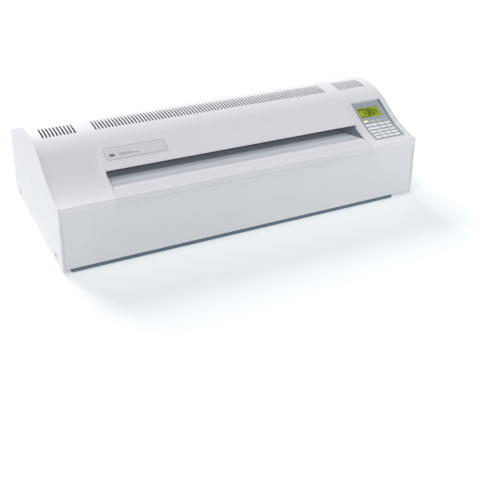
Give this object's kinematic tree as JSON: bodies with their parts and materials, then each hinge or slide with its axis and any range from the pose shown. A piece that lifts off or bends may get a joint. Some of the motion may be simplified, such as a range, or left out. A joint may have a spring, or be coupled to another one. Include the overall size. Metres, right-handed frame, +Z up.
{
  "type": "pouch laminator",
  "caption": "Wide desktop pouch laminator with a feed slot under a curved, vented hood, a keypad with a display, and geared heat rollers inside.",
  "frame": {"origin": "middle of the footprint, on the surface the feet stand on", "axes": "+X runs along the machine to the control panel's end, the feed slot faces -Y, +Z is up"},
  "size_m": [0.68, 0.335, 0.1799],
  "materials": {
    "cover_white": "matte",
    "end_white": "matte",
    "panel_white": "matte",
    "base_grey": "matte",
    "foot_rubber": "matte",
    "table_white": "matte",
    "screw_black": "satin",
    "plate_silver": "satin",
    "liner_grey": "matte",
    "bezel_silver": "satin",
    "lcd_green": "gloss",
    "lcd_can": "satin",
    "light_pipe": "gloss",
    "board_green": "satin",
    "frame_steel": "satin",
    "bush_bronze": "satin",
    "yoke_steel": "satin",
    "spring_steel": "satin",
    "motor_steel": "satin",
    "gear_plastic": "matte",
    "lamp_glass": "gloss",
    "guide_alu": "satin",
    "inlet_black": "satin",
    "rocker_black": "gloss",
    "key_grey": "matte",
    "sleeve_silicone": "matte",
    "core_steel": "satin"
  },
  "bodies": {
    "housing": {"top_cover": "cover_white", "left_end_cover": "end_white", "right_end_cover": "end_white", "front_panel": "panel_white", "rear_panel": "panel_white", "base_pan": "base_grey", "feet": "foot_rubber", "feed_table": "table_white", "cover_screws": "screw_black", "nameplate": "plate_silver", "slot_liners": "liner_grey", "control_bezel": "bezel_silver", "lcd_window": "lcd_green", "lcd_module": "lcd_can", "indicator_lights": "light_pipe", "control_board": "board_green", "left_side_frame": "frame_steel", "right_side_frame": "frame_steel", "tie_bars": "frame_steel", "roller_bushes": "bush_bronze", "pressure_springs": "spring_steel", "gear_motor": "motor_steel", "motor_bracket": "frame_steel", "heater_lamps": "lamp_glass", "pouch_guides": "guide_alu", "power_board": "board_green", "power_inlet": "inlet_black"},
    "floating_yokes": {"pressure_yokes": "yoke_steel"},
    "lower_front_roller": {"lower_front_sleeve": "sleeve_silicone", "lower_front_core": "core_steel", "lower_front_gear": "gear_plastic"},
    "lower_rear_roller": {"lower_rear_sleeve": "sleeve_silicone", "lower_rear_core": "core_steel", "lower_rear_gear": "gear_plastic"},
    "upper_front_roller": {"upper_front_sleeve": "sleeve_silicone", "upper_front_core": "core_steel", "upper_front_gear": "gear_plastic"},
    "upper_rear_roller": {"upper_rear_sleeve": "sleeve_silicone", "upper_rear_core": "core_steel", "upper_rear_gear": "gear_plastic"},
    "motor_pinion_body": {"motor_pinion": "gear_plastic"},
    "power_rocker_body": {"power_rocker": "rocker_black"},
    "key_1_1_body": {"key_1_1": "key_grey"},
    "key_1_3_body": {"key_1_3": "key_grey"},
    "key_1_4_body": {"key_1_4": "key_grey"},
    "key_2_1_body": {"key_2_1": "key_grey"},
    "key_2_3_body": {"key_2_3": "key_grey"},
    "key_2_4_body": {"key_2_4": "key_grey"},
    "key_3_1_body": {"key_3_1": "key_grey"},
    "key_3_2_body": {"key_3_2": "key_grey"},
    "key_3_3_body": {"key_3_3": "key_grey"},
    "key_3_4_body": {"key_3_4": "key_grey"},
    "key_4_1_body": {"key_4_1": "key_grey"},
    "key_4_2_body": {"key_4_2": "key_grey"},
    "key_4_3_body": {"key_4_3": "key_grey"},
    "key_4_4_body": {"key_4_4": "key_grey"},
    "key_5_1_body": {"key_5_1": "key_grey"},
    "key_5_2_body": {"key_5_2": "key_grey"},
    "key_5_3_body": {"key_5_3": "key_grey"},
    "key_5_4_body": {"key_5_4": "key_grey"}
  },
  "joints": [
    {"name": "nip_lift", "type": "slide", "parent": "housing", "child": "floating_yokes", "axis": [0, 0, 1], "range_m": [0, 0.001], "stiffness_N_per_m": 16000, "springref_m": -0.004, "deforming": ["pressure_springs"]},
    {"name": "lower_front_spin", "type": "hinge", "parent": "housing", "child": "lower_front_roller", "pos_m": [0, -0.0375, 0.09], "axis": [1, 0, 0], "continuous": true},
    {"name": "lower_rear_spin", "type": "hinge", "parent": "housing", "child": "lower_rear_roller", "pos_m": [0, 0.0225, 0.09], "axis": [1, 0, 0], "continuous": true},
    {"name": "upper_front_spin", "type": "hinge", "parent": "floating_yokes", "child": "upper_front_roller", "pos_m": [0, -0.0375, 0.1305], "axis": [1, 0, 0], "continuous": true},
    {"name": "upper_rear_spin", "type": "hinge", "parent": "floating_yokes", "child": "upper_rear_roller", "pos_m": [0, 0.0225, 0.1305], "axis": [1, 0, 0], "continuous": true},
    {"name": "motor_pinion_spin", "type": "hinge", "parent": "housing", "child": "motor_pinion_body", "pos_m": [0, -0.0075, 0.08039], "axis": [1, 0, 0], "continuous": true},
    {"name": "power_rocker_tilt", "type": "hinge", "parent": "housing", "child": "power_rocker_body", "pos_m": [0.308, 0.159, 0.045], "axis": [1, 0, 0], "range_deg": [0, 16]},
    {"name": "key_1_1_press", "type": "slide", "parent": "housing", "child": "key_1_1_body", "axis": [0, 0.4195, -0.9078], "range_m": [0, 0.0006], "stiffness_N_per_m": 300, "springref_m": -0.001},
    {"name": "key_1_3_press", "type": "slide", "parent": "housing", "child": "key_1_3_body", "axis": [0, 0.4195, -0.9078], "range_m": [0, 0.0006], "stiffness_N_per_m": 300, "springref_m": -0.001},
    {"name": "key_1_4_press", "type": "slide", "parent": "housing", "child": "key_1_4_body", "axis": [0, 0.4195, -0.9078], "range_m": [0, 0.0006], "stiffness_N_per_m": 300, "springref_m": -0.001},
    {"name": "key_2_1_press", "type": "slide", "parent": "housing", "child": "key_2_1_body", "axis": [0, 0.4195, -0.9078], "range_m": [0, 0.0006], "stiffness_N_per_m": 300, "springref_m": -0.001},
    {"name": "key_2_3_press", "type": "slide", "parent": "housing", "child": "key_2_3_body", "axis": [0, 0.4195, -0.9078], "range_m": [0, 0.0006], "stiffness_N_per_m": 300, "springref_m": -0.001},
    {"name": "key_2_4_press", "type": "slide", "parent": "housing", "child": "key_2_4_body", "axis": [0, 0.4195, -0.9078], "range_m": [0, 0.0006], "stiffness_N_per_m": 300, "springref_m": -0.001},
    {"name": "key_3_1_press", "type": "slide", "parent": "housing", "child": "key_3_1_body", "axis": [0, 0.4195, -0.9078], "range_m": [0, 0.0006], "stiffness_N_per_m": 300, "springref_m": -0.001},
    {"name": "key_3_2_press", "type": "slide", "parent": "housing", "child": "key_3_2_body", "axis": [0, 0.4195, -0.9078], "range_m": [0, 0.0006], "stiffness_N_per_m": 300, "springref_m": -0.001},
    {"name": "key_3_3_press", "type": "slide", "parent": "housing", "child": "key_3_3_body", "axis": [0, 0.4195, -0.9078], "range_m": [0, 0.0006], "stiffness_N_per_m": 300, "springref_m": -0.001},
    {"name": "key_3_4_press", "type": "slide", "parent": "housing", "child": "key_3_4_body", "axis": [0, 0.4195, -0.9078], "range_m": [0, 0.0006], "stiffness_N_per_m": 300, "springref_m": -0.001},
    {"name": "key_4_1_press", "type": "slide", "parent": "housing", "child": "key_4_1_body", "axis": [0, 0.4195, -0.9078], "range_m": [0, 0.0006], "stiffness_N_per_m": 300, "springref_m": -0.001},
    {"name": "key_4_2_press", "type": "slide", "parent": "housing", "child": "key_4_2_body", "axis": [0, 0.4195, -0.9078], "range_m": [0, 0.0006], "stiffness_N_per_m": 300, "springref_m": -0.001},
    {"name": "key_4_3_press", "type": "slide", "parent": "housing", "child": "key_4_3_body", "axis": [0, 0.4195, -0.9078], "range_m": [0, 0.0006], "stiffness_N_per_m": 300, "springref_m": -0.001},
    {"name": "key_4_4_press", "type": "slide", "parent": "housing", "child": "key_4_4_body", "axis": [0, 0.4195, -0.9078], "range_m": [0, 0.0006], "stiffness_N_per_m": 300, "springref_m": -0.001},
    {"name": "key_5_1_press", "type": "slide", "parent": "housing", "child": "key_5_1_body", "axis": [0, 0.4195, -0.9078], "range_m": [0, 0.0006], "stiffness_N_per_m": 300, "springref_m": -0.001},
    {"name": "key_5_2_press", "type": "slide", "parent": "housing", "child": "key_5_2_body", "axis": [0, 0.4195, -0.9078], "range_m": [0, 0.0006], "stiffness_N_per_m": 300, "springref_m": -0.001},
    {"name": "key_5_3_press", "type": "slide", "parent": "housing", "child": "key_5_3_body", "axis": [0, 0.4195, -0.9078], "range_m": [0, 0.0006], "stiffness_N_per_m": 300, "springref_m": -0.001},
    {"name": "key_5_4_press", "type": "slide", "parent": "housing", "child": "key_5_4_body", "axis": [0, 0.4195, -0.9078], "range_m": [0, 0.0006], "stiffness_N_per_m": 300, "springref_m": -0.001}
  ],
  "couplings": [
    {"joint": "lower_rear_spin", "follows": "lower_front_spin", "ratio": 1},
    {"joint": "upper_front_spin", "follows": "lower_front_spin", "ratio": -1},
    {"joint": "upper_rear_spin", "follows": "lower_front_spin", "ratio": -1},
    {"joint": "motor_pinion_spin", "follows": "lower_front_spin", "ratio": -1.8}
  ]
}
